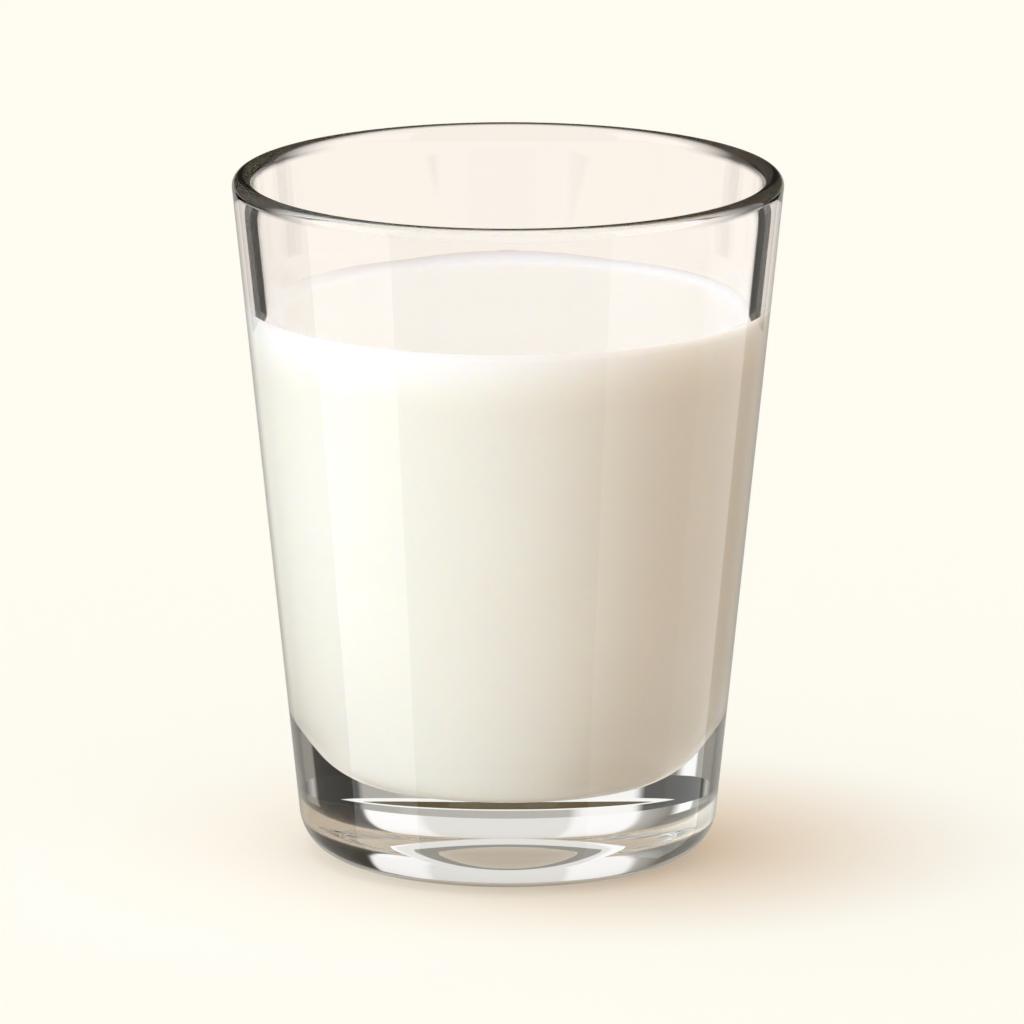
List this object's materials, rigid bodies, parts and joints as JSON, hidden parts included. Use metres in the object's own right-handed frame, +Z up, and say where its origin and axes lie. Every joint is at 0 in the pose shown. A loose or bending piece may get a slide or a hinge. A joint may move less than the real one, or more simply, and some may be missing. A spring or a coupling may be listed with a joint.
{
  "type": "glass of milk",
  "caption": "Plain tapered tumbler with a thick rounded base, filled with milk to about four fifths of its height.",
  "frame": {"origin": "centre of the base, on the surface that the tumbler stands on", "axes": "+Z up along the tumbler's axis of revolution; X and Y are free, because the part is round"},
  "size_m": [0.082, 0.082, 0.1027],
  "materials": {
    "clear_glass": "clear, fire-polished",
    "milk": "opaque creamy-white liquid with a smooth wet surface"
  },
  "bodies": {
    "root": {"tumbler": "clear_glass", "milk": "milk"}
  },
  "joints": []
}
